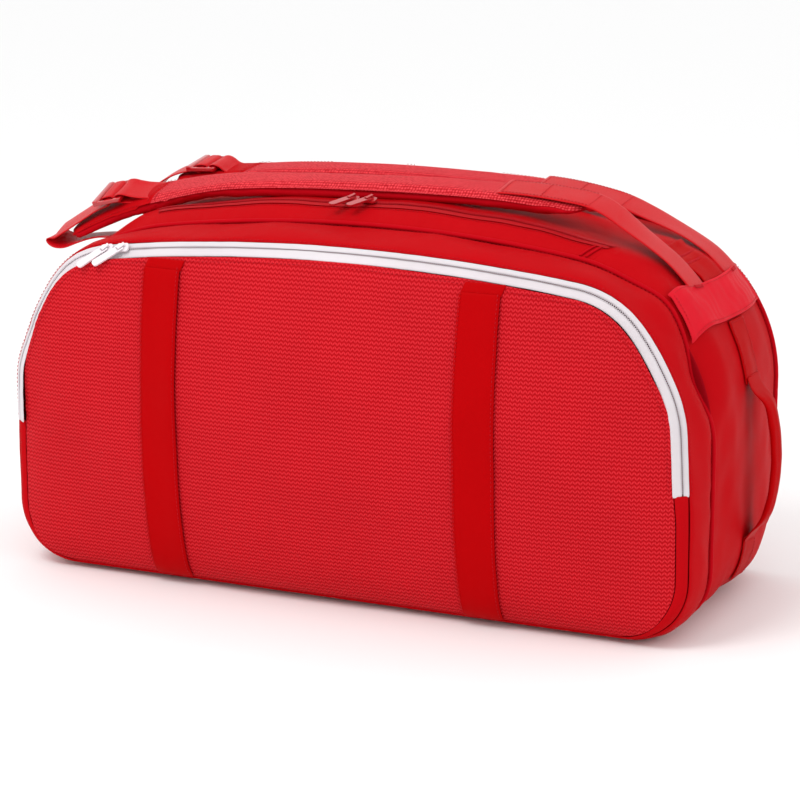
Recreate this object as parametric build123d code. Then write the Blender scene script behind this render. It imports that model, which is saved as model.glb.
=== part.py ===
from build123d import *
from math import asin, atan2, cos, degrees, hypot, pi, radians, sin, sqrt
import os

# Racket duffel bag, in mm. Origin: bottom centre. +X runs along the length, -Y is the front, +Z is up.

# Driving dimensions
RIDGE_Y = -80.0          # seam between the racket compartment and the main compartment
FRONT_Y = -136.0         # front edge of the racket compartment's gusset
REAR_Y = 142.0           # rear edge of the main gusset
ZIP_Y = -47.0            # centre line of the main zip
FABRIC = 3.0             # padded shell
TAPE = 1.6               # zip tape
BULGE_EDGE = 15.0        # how far the front panel rolls forward close to its edge
BULGE_MID = 30.0         # how much further it comes forward at its middle
FOLD_Z = 150.0           # where the white zip ends and the front panel folds
WEB = 1.8                # webbing thickness
FRONT_WEB = 42.0         # width of the two vertical front webbings
FRONT_WEB_X = (-180.0, 158.0)
STRAP_Y = (-12.0, 92.0)  # centre lines of the two shoulder straps
PAD = 56.0               # shoulder pad width
PAD_T = 9.0
STRAP_WEB = 38.0
GAP = 0.4
MOUTH = 235.0            # half length of the main zip
BASE_X = 270.0           # half length of the flat base panel
# Main compartment: Y, half length, height, arch radius, top corner radius, lower corner radius
SECTIONS = ((-78.5, 362, 369, 1500, 165, 62), (ZIP_Y, 363, 385, 1200, 160, 64), (0, 363, 389.5, 1000, 152, 68),
            (80, 363, 389.5, 1000, 152, 74), (REAR_Y, 355, 377, 1200, 155, 84))
RIDGE_R = 165.0
FRONT_W = 366.0          # half length at the front edge
FRONT_TOP = 358.0
FRONT_LOW = 5.0          # height of the front panel's lower edge
FRONT_R = 135.0

os.makedirs("parts", exist_ok=True)


def save(name, shape):
    export_step(shape, f"parts/{name}.step")


def box(x0, x1, y0, y1, z0, z1):
    return Pos((x0 + x1) / 2, (y0 + y1) / 2, (z0 + z1) / 2) * Box(x1 - x0, y1 - y0, z1 - z0)


def corner(w, zt, r, arch):
    """Centre of the round top corner that joins the side to the arched top."""
    za = zt - arch
    xc = w - r
    return xc, za + sqrt((arch - r) ** 2 - xc ** 2)


def outline(y, w, zt, r, arch, z0=0.0, rb=60.0):
    """The arched bag outline, as a closed wire in the plane Y = y."""
    za = zt - arch
    xc, zc = corner(w, zt, r, arch)
    k = arch / (arch - r)
    tx, tz = xc * k, za + (zc - za) * k
    mid = atan2(tz - zc, tx - xc) / 2
    mx, mz = xc + r * cos(mid), zc + r * sin(mid)
    b = rb * (1 - sqrt(0.5))
    edges = [Edge.make_three_point_arc((-tx, y, tz), (0, y, zt), (tx, y, tz)),
             Edge.make_three_point_arc((tx, y, tz), (mx, y, mz), (w, y, zc)),
             Edge.make_line((w, y, zc), (w, y, z0 + rb)),
             Edge.make_three_point_arc((w, y, z0 + rb), (w - b, y, z0 + b), (w - rb, y, z0)),
             Edge.make_line((w - rb, y, z0), (rb - w, y, z0)),
             Edge.make_three_point_arc((rb - w, y, z0), (b - w, y, z0 + b), (-w, y, z0 + rb)),
             Edge.make_line((-w, y, z0 + rb), (-w, y, zc)),
             Edge.make_three_point_arc((-w, y, zc), (-mx, y, mz), (-tx, y, tz))]
    return Wire(edges)


def main_block(off):
    wires = [outline(y, w + off, zt + off, r + off, arch + off, max(0, -off), rb + off)
             for y, w, zt, arch, r, rb in SECTIONS]
    return Solid.make_loft(wires)


def skin(low, high):
    """A layer lying between two heights above the main compartment's outer surface."""
    return main_block(high) - main_block(low)


def front_outline(y, off=0.0):
    """Front edge family: the outline shrinks as it comes forward over the zip."""
    k = (FRONT_Y - y) * 7 / 6 + off
    return outline(y, FRONT_W - k, FRONT_TOP - k, FRONT_R - k, 2000 - k, FRONT_LOW + max(k, 0), 62 - k)


def front_y(x, z):
    half = (FRONT_TOP - FRONT_LOW) / 2
    u = min(abs(x) / FRONT_W, 1)
    v = min(abs(z - FRONT_LOW - half) / half, 1)
    roll = (1 - u ** 16) * (1 - v ** 16)
    pillow = (1 - u ** 2) * (1 - v ** 2)
    return FRONT_Y - BULGE_EDGE * roll - BULGE_MID * pillow


def front_slab(off, thick):
    """A sheet of even thickness that follows the bulged front, `off` in front of it."""
    heights = [FRONT_LOW + (FRONT_TOP + 1 - FRONT_LOW) * j / 22 for j in range(23)]
    pts = [[(x, front_y(x, z) - off, z) for z in heights] for x in [FRONT_W * (i / 18 - 1) for i in range(37)]]
    face = Face.make_surface_from_array_of_points(pts, tol=0.05)
    return Solid.extrude(face, Vector(0, thick, 0))


def prism(wire, y0, y1):
    return Pos(0, y0, 0) * Solid.extrude(Face(wire), Vector(0, y1 - y0, 0))


# ---- Front compartment -------------------------------------------------------------------
def gusset_block(off):
    front = outline(FRONT_Y + 3.5, FRONT_W - off, FRONT_TOP - off, FRONT_R - off, 2000 - off, FRONT_LOW + off, 62 - off)
    ridge = outline(RIDGE_Y - 1.5, 362 - off, 368.5 - off, RIDGE_R - off, 1500 - off, off, 62 - off)
    return Solid.make_loft([front, ridge])


save("front_gusset", gusset_block(0) - gusset_block(FABRIC))

divider = prism(outline(0, 361.5, 368, RIDGE_R - 0.5, 1499.5, 0.5, 61.5), RIDGE_Y - 1.1, RIDGE_Y + 1.1)
save("compartment_divider", divider)


def front_band(y0, y1):
    """A strip of zip tape lying on the slope between the gusset and the front panel."""
    outer = Solid.make_loft([front_outline(y0), front_outline(y1)])
    inner = Solid.make_loft([front_outline(y0, TAPE), front_outline(y1, TAPE)])
    return outer - inner


above_fold = box(-400, 400, -220, -100, FOLD_Z + 0.3, 420)
below_fold = box(-400, 400, -220, -100, -10, FOLD_Z - 0.3)
save("front_zip_outer_tape", front_band(FRONT_Y + 2, FRONT_Y - 5.7) & above_fold)
save("front_zip_inner_tape", front_band(FRONT_Y - 6.3, FRONT_Y - 12) & above_fold)

panel = front_slab(0, FABRIC)
upper_window = prism(outline(0, FRONT_W - 16, FRONT_TOP - 16, FRONT_R - 16, 1984, FRONT_LOW), -200, -120)
lower_window = prism(outline(0, FRONT_W - 0.5, FRONT_TOP - 1, FRONT_R, 1999, FRONT_LOW + 0.5), -200, -120)
save("front_panel_upper", panel & upper_window & above_fold)
save("front_panel_lower", panel & lower_window & below_fold)

web_sheet = front_slab(GAP + WEB, WEB)
for side, x in (("left", FRONT_WEB_X[0]), ("right", FRONT_WEB_X[1])):
    strip = web_sheet & box(x - FRONT_WEB / 2, x + FRONT_WEB / 2, -220, -100, 8, 336)
    save(f"front_webbing_{side}_upper", strip & above_fold)
    save(f"front_webbing_{side}_lower", strip & below_fold)

# ---- Main compartment --------------------------------------------------------------------
shell = skin(-FABRIC, 0) & box(-400, 400, RIDGE_Y + 1.5, REAR_Y - 3.3, -10, 420)
lip_front = RIDGE_Y + 5.5
save("bottom_panel", box(-BASE_X, BASE_X, SECTIONS[0][0], REAR_Y - 3.3, 0, FABRIC))
for side, s in (("left", -1), ("right", 1)):
    ends = box(min(s * BASE_X, s * 400), max(s * BASE_X, s * 400), -90, 160, -10, 60)
    ends = ends + box(min(s * (MOUTH + 1.5), s * 400), max(s * (MOUTH + 1.5), s * 400), -90, 160, 60, 420)
    save(f"{side}_end_panel", shell & ends)
save("top_panel", shell & box(-MOUTH - 1.5, MOUTH + 1.5, ZIP_Y + 0.6, 160, 200, 420))
save("mouth_lip", shell & box(-MOUTH, MOUTH, lip_front, ZIP_Y - 0.6, 200, 420))
tape_sheet = skin(0.3, 1.5)
save("main_zip_rear_tape", tape_sheet & box(-MOUTH, MOUTH, ZIP_Y + 0.6, ZIP_Y + 7, 200, 420))
save("main_zip_front_tape", tape_sheet & box(-MOUTH, MOUTH, ZIP_Y - 7, ZIP_Y - 0.6, 200, 420))
save("mouth_cross_seam_tab", tape_sheet & box(222, 231, lip_front + 1, ZIP_Y - 8, 200, 420))
save("base_board", box(-262, 262, RIDGE_Y + 6, REAR_Y - 8, 3.3, 7.3))

REAR_W, REAR_TOP, REAR_ARCH, REAR_R, REAR_RB = SECTIONS[-1][1:]
rear_pts = [[(x, REAR_Y + 12 * (1 - (x / REAR_W) ** 2) * (1 - (2 * z / REAR_TOP - 1) ** 2), z)
             for z in [REAR_TOP * j / 16 for j in range(17)]] for x in [REAR_W * (i / 10 - 1) for i in range(21)]]
rear_face = Face.make_surface_from_array_of_points(rear_pts, tol=0.05)
rear = Solid.extrude(rear_face, Vector(0, -FABRIC, 0))
rear_edge = outline(0, REAR_W - 0.5, REAR_TOP - 0.5, REAR_R - 0.5, REAR_ARCH - 0.5, 0.5, REAR_RB - 0.5)
save("rear_panel", rear & prism(rear_edge, 100, 200))


def piping(y, w, zt, r, arch, rb):
    """A round cord sewn along a seam, all the way round the bag except under its flat base."""
    path = outline(y, w + 2.9, zt + 2.9, r + 2.9, arch + 2.9, -2.9, rb + 2.9)
    tube = sweep(Plane(origin=(0, y, zt + 2.9), z_dir=(1, 0, 0)) * Circle(2.4), path=path)
    return tube & box(-400, 400, y - 10, y + 10, 14, 420)


save("ridge_piping", piping(RIDGE_Y, 362, 368.7, RIDGE_R, 1500, 62))
save("rear_piping", piping(REAR_Y - 1, REAR_W + 0.4, REAR_TOP + 0.6, REAR_R, REAR_ARCH, REAR_RB))

# ---- End patches, end webbings and grab handles ---------------------------------------------
_, BODY_W, BODY_TOP, BODY_ARCH, BODY_R, _ = SECTIONS[2]
CX, CZ = corner(BODY_W, BODY_TOP, BODY_R, BODY_ARCH)
PATCH = (30.0, 46.0)     # from and to, in degrees round the corner
END_Y = 32.0             # middle of the main compartment
HANDLE_X = 370.0
HANDLE_Z = (74.0, 218.0)


def wedge(a0, a1):
    far = [(CX + 300 * cos(radians(a)), CZ + 300 * sin(radians(a))) for a in (a0, a1)]
    pts = [(CX, 0, CZ), (far[0][0], 0, far[0][1]), (far[1][0], 0, far[1][1])]
    return prism(Wire.make_polygon(pts, close=True), -74, REAR_Y - 6)


patch = skin(GAP, 3.0) & wedge(*PATCH)
thin = skin(GAP, GAP + WEB)
upper_web = thin & box(300, 400, END_Y - 19, END_Y + 19, HANDLE_Z[1] + 8, 282)
lower_web = thin & box(300, 400, END_Y - 19, END_Y + 19, 25, HANDLE_Z[0] - 8)
tab = thin & wedge(PATCH[1] + 0.6, 66) & box(200, 400, 12, 62, 200, 420)


def ribbon(points, low, high, y_mid, width, round_end=0.0, tangents=None):
    """A strap of even thickness along a side-view path, given as (x, z) points."""
    path = Edge.make_spline([Vector(x, 0, z) for x, z in points], tangents=tangents)
    upper = []
    lower = []
    for i in range(33):
        at = path.position_at(i / 32)
        t = path.tangent_at(i / 32)
        n = Vector(-t.Z, 0, t.X)
        upper.append(at + n * high)
        lower.append(at + n * low)
    edges = [Edge.make_spline(upper), Edge.make_line(upper[-1], lower[-1]),
             Edge.make_spline(lower), Edge.make_line(lower[0], upper[0])]
    body = prism(Wire(edges), y_mid - width / 2, y_mid + width / 2)
    if round_end:
        x0 = min(p.X for p in upper + lower)
        x1 = max(p.X for p in upper + lower)
        plan = Pos((x0 + x1) / 2, y_mid, 0) * RectangleRounded(x1 - x0, width, round_end)
        body = body & extrude(plan, amount=500)
    return body


# The grab handle is a doubled webbing bow that stands off the end between two anchors.
z_low, z_high = HANDLE_Z
bow = [(HANDLE_X, z_high), (HANDLE_X + 14, z_high - 22), (HANDLE_X + 20.5, (z_low + z_high) / 2),
       (HANDLE_X + 14, z_low + 22), (HANDLE_X, z_low)]
handle = ribbon(bow, -1.8, 1.8, END_Y, 24)
for side, flip in (("right", False), ("left", True)):
    for name, solid in (("end_patch", patch), ("end_webbing_upper", upper_web), ("end_webbing_lower", lower_web),
                        ("end_tab", tab), ("grab_handle", handle)):
        save(f"{side}_{name}", mirror(solid, about=Plane.YZ) if flip else solid)

# ---- Shoulder straps -------------------------------------------------------------------------
# Each strap: its pad's top face, its webbing to the right-end patch, its buckle's right bar, and the
# webbing on the buckle's left, which folds back at its outer end and runs down to the left-end patch.
END_ANGLE = radians(PATCH[1] + 0.9)
WEB_END = (CX + (BODY_R + 2) * cos(END_ANGLE), CZ + (BODY_R + 2) * sin(END_ANGLE))
LAND = (-WEB_END[0] - 1.2, WEB_END[1] + 3.0)
STRAPS = {
    "near": {"y": STRAP_Y[0], "reinforced": (-292, -250),
             "pad": [(-372, 327), (-330, 350), (-294, 366), (-250, 379), (-187, 391.5), (-120, 397.5), (-60, 400.5),
                     (30, 402.5), (120, 401), (212, 393)],
             "webbing": [(122, 402.9), (175, 399.6), (216, 393.6), (248, 376), (272, 360), (296, 343.5), WEB_END],
             "buckle": (-295.2, 369.2), "tilt": 21.0,
             "over": [(-320, 356.9), (-332, 351.8), (-352, 341.8), (-372, 331.4), (-388, 321.7)],
             "under": [(-390.6, 319.2), (-394.2, 312.5), (-389, 306), (-372, 302.5), (-345, 310), LAND]},
    "far": {"y": STRAP_Y[1], "reinforced": (-250, -206),
            "pad": [(-302, 375), (-262, 382.5), (-215, 388), (-150, 394), (-60, 400.5), (30, 402), (120, 397),
                    (206, 382)],
            "webbing": [(122, 398.9), (170, 391.2), (214, 383.4), (252, 372.5), (280, 358.5), (300, 343), WEB_END],
            "buckle": (-250, 392.5), "tilt": 1.0,
            "over": [(-278, 390.6), (-298, 384.6), (-322, 367), (-336, 351)],
            "under": [(-337.8, 348.5), (-340.5, 341), (-334, 334), LAND]},
}


def frame_on(origin, x_dir, z_dir):
    return Plane(origin=origin, x_dir=x_dir, z_dir=z_dir)


def ladder_lock(x, y, z, tilt):
    """A two-slot frame; its right bar is held by a webbing loop and its left bar is ribbed."""
    plate = extrude(RectangleRounded(34, 46, 5), amount=5)
    for slot_x in (-7, 6):
        plate = plate - Pos(slot_x, 0, 0) * extrude(RectangleRounded(6.5, 38.6, 2), amount=5)
    ridge = Pos(-14.5, 0, 5) * extrude(RectangleRounded(3, 40, 1.4), amount=1.6)
    lock = Pos(-17, 0, 0) * (plate + ridge)
    lean = radians(tilt)
    place = frame_on((x, y, z), (cos(lean), 0, sin(lean)), (-sin(lean), 0, cos(lean)))
    strip = Pos(-20, 0, 5.4) * extrude(RectangleRounded(19, 37, 1.5), amount=1.6)
    return place.location * lock, place.location * strip


for strap, design in STRAPS.items():
    y = design["y"]
    pad = ribbon(design["pad"], -PAD_T, 0, y, PAD, 24)
    top = ribbon(design["pad"], 0.3, 1.5, y, PAD - 9, 20)
    start, stop = design["reinforced"]
    save(f"{strap}_strap_pad", pad)
    save(f"{strap}_strap_mesh", top & box(stop + 0.4, 118, y - 40, y + 40, 200, 500))
    save(f"{strap}_strap_reinforcement", top & box(start, stop - 0.4, y - 40, y + 40, 200, 500))
    save(f"{strap}_strap_webbing", ribbon(design["webbing"], 0, WEB, y, STRAP_WEB))
    save(f"{strap}_adjuster_webbing", ribbon(design["over"], -WEB / 2, WEB / 2, y, STRAP_WEB))
    save(f"{strap}_anchor_webbing", ribbon(design["under"], -WEB / 2, WEB / 2, y, STRAP_WEB))
    lock, strip = ladder_lock(design["buckle"][0], y, design["buckle"][1], design["tilt"])
    save(f"{strap}_ladder_lock", lock)
    save(f"{strap}_lock_loop", strip)


# ---- Zip sliders and pulls ---------------------------------------------------------------------
def slider_and_pull(origin, along, normal, toward, length, lift):
    """A slider on a zip at `origin`, and its flat pull tab pointing `toward`, raised by `lift` degrees."""
    n = Vector(*normal).normalized()
    t = (Vector(*along) - n * Vector(*along).dot(n)).normalized()
    d = (Vector(*toward) - n * Vector(*toward).dot(n)).normalized()
    at = Vector(*origin)
    seat = frame_on(at + n * 2.7, t, n)
    plate = extrude(RectangleRounded(14, 9.5, 3), amount=2.2)
    body = seat.location * plate
    crown_frame = frame_on(at + n * 4.9, d, n)
    crown = extrude(Rectangle(8.4, 3.2), amount=3.4) - extrude(Rectangle(4.8, 3.2), amount=2.3)
    body = body + crown_frame.location * crown
    pin = at + n * 6.1
    lean = d * cos(radians(lift)) + n * sin(radians(lift))
    up = n * cos(radians(lift)) - d * sin(radians(lift))
    pull_frame = frame_on(pin, lean, up)
    bar = Pos(0, -3.4, 0) * Rot(-90, 0, 0) * Cylinder(0.8, 6.8, align=(Align.CENTER, Align.CENTER, Align.MIN))
    arms = [Pos(3.2, s * 3.2, -0.8) * extrude(RectangleRounded(8, 1.6, 0.7), amount=1.6) for s in (-1, 1)]
    tab = Pos(5.6 + length / 2, 0, -0.9) * extrude(RectangleRounded(length, 8, 3.6), amount=1.8)
    pull = bar + arms[0] + arms[1] + tab
    return body, pull_frame.location * pull, pin, t.cross(n), lean.cross(up)


mid_y = FRONT_Y - 6
zip_r = FRONT_R - 7
fx, fz = corner(FRONT_W - 7, FRONT_TOP - 7, zip_r, 1993)
slope = hypot(6, 7)
report = {}
for name, x in (("left", -250.0), ("right", -232.0)):
    if name == "left":
        phi = asin((x + fx) / zip_r)
        z = fz + zip_r * cos(phi)
    else:
        phi = asin(x / 1993)
        z = FRONT_TOP - 2000 + 1993 * cos(phi)
    radial = Vector(sin(phi), 0, cos(phi))
    normal = radial * 6 / slope + Vector(0, -1, 0) * 7 / slope
    along = Vector(cos(phi), 0, -sin(phi))
    inward = Vector(0, -1, 0) * 6 / slope - radial * 7 / slope
    toward = along * -27.5 + inward * 25
    body, pull, pin, _, axis = slider_and_pull((x, mid_y, z), along, normal, toward, 28, 8)
    save(f"front_slider_{name}", body)
    save(f"front_pull_{name}", pull)
    report[f"front_{name}"] = (pin, axis)
for name, x in (("left", -26.0), ("right", -7.0)):
    phi = asin(x / 1200)
    z = 385 - 1200 + 1200 * cos(phi)
    normal = Vector(sin(phi) * 0.9, -0.32, 0.95)
    body, pull, pin, _, axis = slider_and_pull((x, ZIP_Y, z), (1, 0, 0), normal, (-12, -22, -10), 22, 7)
    save(f"main_slider_{name}", body)
    save(f"main_pull_{name}", pull)
    report[f"main_{name}"] = (pin, axis)

for key, (pin, axis) in report.items():
    print(key, [round(v / 1000, 5) for v in pin], [round(v, 5) for v in axis])
print("strap hinge", WEB_END, "corner", CX, CZ, "front corner", fx, fz)
for strap, design in STRAPS.items():
    lean = radians(design["tilt"])
    x, z = design["buckle"]
    print(strap, "lock bar", x - 3.9 * cos(lean) - 2.5 * sin(lean), z - 3.9 * sin(lean) + 2.5 * cos(lean))
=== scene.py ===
from bisect import bisect_right
from math import asin, cos, exp, pi, radians, sin, sqrt
import bmesh
import bpy
from mathutils import Matrix, Vector, noise
from mathutils.bvhtree import BVHTree


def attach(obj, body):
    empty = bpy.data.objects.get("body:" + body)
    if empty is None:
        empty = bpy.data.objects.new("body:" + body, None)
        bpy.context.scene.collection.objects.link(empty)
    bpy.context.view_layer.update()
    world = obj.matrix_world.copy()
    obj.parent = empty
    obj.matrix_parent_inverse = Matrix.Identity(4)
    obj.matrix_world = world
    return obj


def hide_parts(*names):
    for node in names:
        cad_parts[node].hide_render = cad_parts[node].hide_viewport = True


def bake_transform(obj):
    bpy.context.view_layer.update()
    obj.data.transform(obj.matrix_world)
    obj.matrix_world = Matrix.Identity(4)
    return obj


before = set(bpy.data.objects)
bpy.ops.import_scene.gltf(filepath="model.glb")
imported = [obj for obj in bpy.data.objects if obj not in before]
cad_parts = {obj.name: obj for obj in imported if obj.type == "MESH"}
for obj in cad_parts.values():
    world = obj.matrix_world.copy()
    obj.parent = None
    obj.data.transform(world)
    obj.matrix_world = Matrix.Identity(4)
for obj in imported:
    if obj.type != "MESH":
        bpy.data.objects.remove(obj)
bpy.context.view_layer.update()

# ---- Front gusset ----------------------------------------------------------------------------------
# The band of coated cloth that runs all the way round the racket compartment, from the ridge seam to
# the front edge. It is cut straight, sewn to the front along one side and to the ridge on the other,
# so it puckers a little at both seams.
RUNS = (0.2222, 0.2347, 0.1294, 0.0942, 0.3020)   # half outline: arched top, corner, side, lower corner, base
RIDGE_Y = -0.0800
RIDGE = (0.3620, 0.3690, 0.165, 1.5)              # half length, height, corner radius, arch radius
FRONT = (0.366, 0.358, 0.135, 2.0)                # the same for the front edge
LOW_BEND = 0.062                                  # radius of the lower corners
GUSSET_EDGE = -0.1382                             # depth of the gusset's edge, where the outer tape is sewn
END_OF_ZIP = 0.5105                               # run along the outline, from the middle of the top
RED = (0.450, 0.0030, 0.0060)


def wrap(t, wide, top, bend, arch, base=0.0, low=0.060):
    """Point and outward direction at run t along the arched outline; t = 0 is the middle of the top."""
    side = 1 if t >= 0 else -1
    t = abs(t)
    cx = wide - bend
    cz = top - arch + sqrt((arch - bend) ** 2 - cx ** 2)
    lean = asin(cx / (arch - bend))
    ends = [sum(RUNS[:i + 1]) for i in range(5)]
    if t < ends[0]:
        a = lean * t / RUNS[0]
        p, n = (arch * sin(a), top - arch + arch * cos(a)), (sin(a), cos(a))
    elif t < ends[1]:
        a = lean + (pi / 2 - lean) * (t - ends[0]) / RUNS[1]
        p, n = (cx + bend * sin(a), cz + bend * cos(a)), (sin(a), cos(a))
    elif t < ends[2]:
        k = (t - ends[1]) / RUNS[2]
        p, n = (wide, cz + (base + low - cz) * k), (1, 0)
    elif t < ends[3]:
        a = pi / 2 * (1 + (t - ends[2]) / RUNS[3])
        p, n = (wide - low + low * sin(a), base + low + low * cos(a)), (sin(a), cos(a))
    else:
        k = min((t - ends[3]) / RUNS[4], 1)
        p, n = ((wide - low) * (1 - k), base), (0, -1)
    return Vector((side * p[0], 0, p[1])), Vector((side * n[0], 0, n[1]))


def soft(x, lo=0.0, hi=1.0):
    k = min(max((x - lo) / (hi - lo), 0), 1)
    return k * k * (3 - 2 * k)


def rumple(p, size, height, seed=0.0):
    """Height of a soft fold at p: folds about `size` across and `height` tall."""
    return height * noise.noise(Vector(p) / size + Vector((seed, seed * 1.7, seed * 0.3)))


def pucker(along, away, pitch=0.016, depth=0.0007, reach=0.012, seed=0.0):
    """Small gathers that fade away from a seam."""
    wander = noise.noise(Vector((along * 22 + seed, seed, 0)))
    return depth * exp(-away / reach) * sin(along / pitch * 2 * pi + 5 * wander) * (0.5 + wander)


def drawn_in(t):
    """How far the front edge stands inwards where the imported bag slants, at each upper corner."""
    if t < 0:
        return Vector((0.0105 * soft(-t, 0.26, 0.37) * (1 - soft(-t, 0.40, 0.475)), 0, 0))
    return Vector((-0.0150 * exp(-((t - 0.372) / 0.092) ** 2) - 0.0040 * soft(t, 0.40, 0.50), 0, 0))


def ridge_give(t):
    """How far the ridge seam is pushed out or pulled in at the upper corners."""
    pushed = 0.0095 * exp(-((t + 0.335) / 0.050) ** 2) + 0.0070 * exp(-((t - 0.318) / 0.028) ** 2)
    return pushed - 0.0120 * exp(-((t - 0.397) / 0.034) ** 2)


def tape_line(t, y):
    """A line along the slope that the white zip lies on, between the gusset and the front panel."""
    k = (-0.136 - y) * 7 / 6
    p, n = wrap(t, *(size - k for size in FRONT), 0.005 + max(k, 0), LOW_BEND - k)
    p = p + drawn_in(t)
    p.y = y
    return p, n


def gusset_front(t, v):
    """The front gusset's surface: v = 0 at the ridge, 1 at the front edge."""
    y = RIDGE_Y + (-0.1360 - RIDGE_Y) * min(v / 0.93, 1)
    p, n = wrap(t, 0.3620 + 0.0042 * v, 0.3690 - 0.0105 * v, 0.165 - 0.029 * v, 1.5 + 0.5 * v, 0.005 * v, 0.062)
    p = p + drawn_in(t) * soft(v, 0.1, 0.93)
    out = 0.0030 * sin(pi * v) - 0.0022 * exp(-v / 0.10) + ridge_give(t) * (1 - soft(v, 0.0, 0.75))
    out -= 0.0014 * exp(-((abs(t) - END_OF_ZIP) / 0.0024) ** 2)
    if abs(t) < 0.66:
        slack = sin(pi * min(max(v, 0), 1)) ** 0.7
        out += rumple((t, v * 0.056, 0), 0.055, 0.0036, 3) * slack
        out += rumple((t * 0.6, v * 0.056, 0), 0.022, 0.0014, 9) * slack
        out += rumple((t, v * 0.030 + t * 0.4, 0), 0.026, 0.0030, 14) * slack * soft(abs(t), 0.46, 0.56)
        out += pucker(t, v * 0.056, seed=1) + pucker(t, (1 - v) * 0.056, seed=2, depth=0.0006)
    p = p + n * out
    p.y = y
    if v > 0.93:
        edge, n = tape_line(t, GUSSET_EDGE)
        p = p.lerp(edge + n * 0.0016, soft(v, 0.90, 1.0))
    return p, n


def cloth(name, columns, rows, place, size, material, closed=False):
    """A sheet of quads: place(u, v) puts each corner, and the UV map is in metres of cloth."""
    bm = bmesh.new()
    bmesh.ops.create_grid(bm, x_segments=columns, y_segments=rows, size=0.5)
    uv = bm.loops.layers.uv.new("cloth")
    for face in bm.faces:
        for loop in face.loops:
            loop[uv].uv = ((loop.vert.co.x + 0.5) * size[0], (loop.vert.co.y + 0.5) * size[1])
    for vert in bm.verts:
        vert.co = place(vert.co.x + 0.5, vert.co.y + 0.5)
    if closed:
        bmesh.ops.remove_doubles(bm, verts=bm.verts, dist=1e-6)
    return show(name, bm, material)


def show(name, bm, *materials):
    mesh = bpy.data.meshes.new(name)
    bm.normal_update()
    bm.to_mesh(mesh)
    bm.free()
    mesh.shade_smooth()
    obj = bpy.data.objects.new(name, mesh)
    bpy.context.scene.collection.objects.link(obj)
    for material in materials:
        mesh.materials.append(material)
    return obj


def thicken(obj, thickness, offset=0.0, levels=1):
    """Gives a strip its thickness and rounds its edges."""
    wall = obj.modifiers.new("thickness", "SOLIDIFY")
    wall.thickness = thickness
    wall.offset = offset
    if levels:
        round_off(obj, levels)


def round_off(obj, levels):
    smooth = obj.modifiers.new("smooth", "SUBSURF")
    smooth.levels = smooth.render_levels = levels


def lined(obj, thickness):
    """Adds the foam and the plain lining behind a panel, then rounds it off."""
    obj.data.materials.append(lining)
    wall = obj.modifiers.new("foam", "SOLIDIFY")
    wall.thickness = thickness
    wall.offset = -1
    wall.material_offset = 1
    round_off(obj, 1)


def node(tree, kind, links=None, **settings):
    """A shader node; links gives each input a value or another node's output."""
    made = tree.nodes.new(kind)
    for key, value in settings.items():
        setattr(made, key, value)
    for key, value in (links or {}).items():
        if isinstance(value, bpy.types.NodeSocket):
            tree.links.new(value, made.inputs[key])
        else:
            made.inputs[key].default_value = value
    return made


def math(tree, operation, a, b=0.0, clamp=False):
    return node(tree, "ShaderNodeMath", {0: a, 1: b}, operation=operation, use_clamp=clamp).outputs[0]


def group(name, inputs, outputs):
    tree = bpy.data.node_groups.new(name, "ShaderNodeTree")
    for label, kind, value in inputs:
        socket = tree.interface.new_socket(label, in_out="INPUT", socket_type=kind)
        if value is not None:
            socket.default_value = value
    for label, kind in outputs:
        tree.interface.new_socket(label, in_out="OUTPUT", socket_type=kind)
    return tree, tree.nodes.new("NodeGroupInput").outputs, tree.nodes.new("NodeGroupOutput").inputs


def use(tree, shared, **links):
    """Places a node group; spaces in its input names are underscores here."""
    made = tree.nodes.new("ShaderNodeGroup")
    made.node_tree = shared
    for key, value in links.items():
        key = key.replace("_", " ")
        if isinstance(value, bpy.types.NodeSocket):
            tree.links.new(value, made.inputs[key])
        else:
            made.inputs[key].default_value = value
    return made.outputs


# Weave: crossing threads of a given pitch, as a height.
weave, given, result = group(
    "weave", [("Vector", "NodeSocketVector", None), ("Pitch", "NodeSocketFloat", 0.0008)],
    [("Height", "NodeSocketFloat")])
part = node(weave, "ShaderNodeSeparateXYZ", {0: given["Vector"]}).outputs
turns = math(weave, "DIVIDE", 2 * pi, given["Pitch"])
warp = math(weave, "SINE", math(weave, "MULTIPLY", part[0], turns))
weft = math(weave, "SINE", math(weave, "MULTIPLY", part[1], turns))
weave.links.new(math(weave, "MULTIPLY", warp, weft), result["Height"])

# Handling: slow unevenness of dye and gloss over a whole panel, as on cloth that has been folded.
handled, given, result = group(
    "handled", [("Vector", "NodeSocketVector", None), ("Colour", "NodeSocketColor", None),
                ("Amount", "NodeSocketFloat", 0.12)],
    [("Colour", "NodeSocketColor"), ("Gloss", "NodeSocketFloat")])
slow, fast = (node(handled, "ShaderNodeTexNoise", {"Vector": given["Vector"], "Scale": scale, "Detail": detail})
              for scale, detail in ((11.0, 4.0), (160.0, 2.0)))
mixed = math(handled, "ADD", math(handled, "MULTIPLY", slow.outputs[0], 0.7),
             math(handled, "MULTIPLY", fast.outputs[0], 0.3))
uneven = math(handled, "MULTIPLY", math(handled, "SUBTRACT", mixed, 0.5), given["Amount"])
value = math(handled, "ADD", 1.0, uneven)
tint = node(handled, "ShaderNodeHueSaturation", {"Color": given["Colour"], "Value": value})
handled.links.new(tint.outputs[0], result["Colour"])
handled.links.new(mixed, result["Gloss"])


def material(name, roughness, coat=0.0, specular=0.5):
    made = bpy.data.materials.new(name)
    made.use_nodes = True
    tree = made.node_tree
    shader = tree.nodes["Principled BSDF"]
    shader.inputs["Roughness"].default_value = roughness
    shader.inputs["Coat Weight"].default_value = coat
    shader.inputs["Specular IOR Level"].default_value = specular
    return made, tree, shader


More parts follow.
